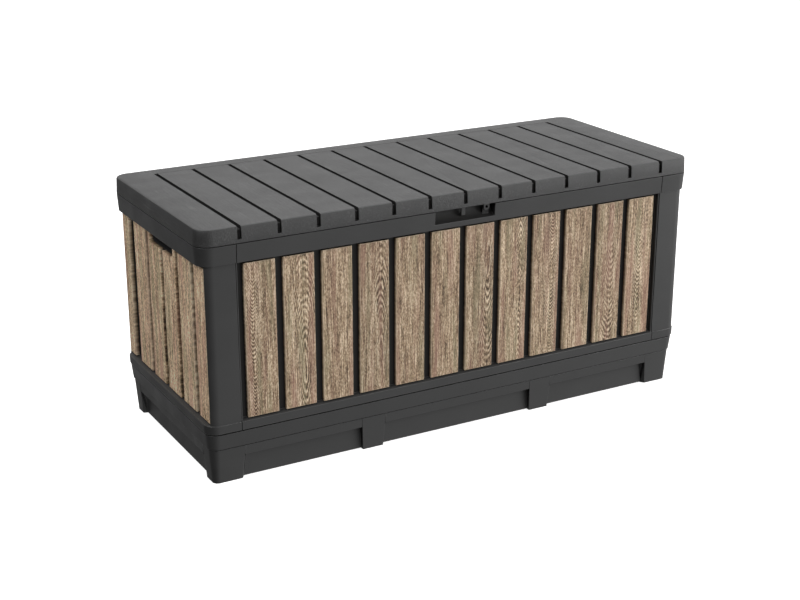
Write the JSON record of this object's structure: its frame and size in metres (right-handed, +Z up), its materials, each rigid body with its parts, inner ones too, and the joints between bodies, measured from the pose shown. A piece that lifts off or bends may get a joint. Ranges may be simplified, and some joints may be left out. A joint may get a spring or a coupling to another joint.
{
  "type": "deck storage box",
  "caption": "Lidded outdoor deck storage box: dark resin panels clad with vertical wood-look planks, footed base tray, rear-hinged lid with board grooves and padlock eye.",
  "frame": {"origin": "on the ground, under the middle of the closed box", "axes": "+X along the width, to the right seen from the front; -Y out of the front; +Z up"},
  "size_m": [1.276, 0.525, 0.58],
  "materials": {
    "graphite_resin": "injection-moulded polypropylene, fine matt grain",
    "dark_resin": "injection-moulded polypropylene, plain matt",
    "oak_print_resin": "polypropylene tray faced with a printed and embossed oak film",
    "steel": "zinc-plated steel"
  },
  "bodies": {
    "box": {"base_tray": "graphite_resin", "front_panel": "graphite_resin", "back_panel": "graphite_resin", "left_end_panel": "graphite_resin", "right_end_panel": "graphite_resin", "left_hinge_pin": "steel", "middle_hinge_pin": "steel", "right_hinge_pin": "steel", "panel_screws": "steel", "front_plank_01": "oak_print_resin", "front_plank_02": "oak_print_resin", "front_plank_03": "oak_print_resin", "front_plank_04": "oak_print_resin", "front_plank_05": "oak_print_resin", "front_plank_06": "oak_print_resin", "front_plank_07": "oak_print_resin", "front_plank_08": "oak_print_resin", "front_plank_09": "oak_print_resin", "front_plank_10": "oak_print_resin", "front_plank_11": "oak_print_resin", "front_plank_12": "oak_print_resin", "back_plank_01": "oak_print_resin", "back_plank_02": "oak_print_resin", "back_plank_03": "oak_print_resin", "back_plank_04": "oak_print_resin", "back_plank_05": "oak_print_resin", "back_plank_06": "oak_print_resin", "back_plank_07": "oak_print_resin", "back_plank_08": "oak_print_resin", "back_plank_09": "oak_print_resin", "back_plank_10": "oak_print_resin", "back_plank_11": "oak_print_resin", "back_plank_12": "oak_print_resin", "left_plank_1": "oak_print_resin", "left_plank_2": "oak_print_resin", "left_plank_3": "oak_print_resin", "left_plank_4": "oak_print_resin", "left_plank_5": "oak_print_resin", "left_plank_6": "oak_print_resin", "right_plank_1": "oak_print_resin", "right_plank_2": "oak_print_resin", "right_plank_3": "oak_print_resin", "right_plank_4": "oak_print_resin", "right_plank_5": "oak_print_resin", "right_plank_6": "oak_print_resin"},
    "lid": {"lid_top": "graphite_resin", "lid_liner": "dark_resin", "lid_tongue": "graphite_resin", "padlock_eye": "graphite_resin"}
  },
  "joints": [
    {"name": "lid_hinge", "type": "hinge", "parent": "box", "child": "lid", "pos_m": [0, 0.255, 0.533], "axis": [-1, 0, 0], "range_deg": [0, 100]}
  ]
}
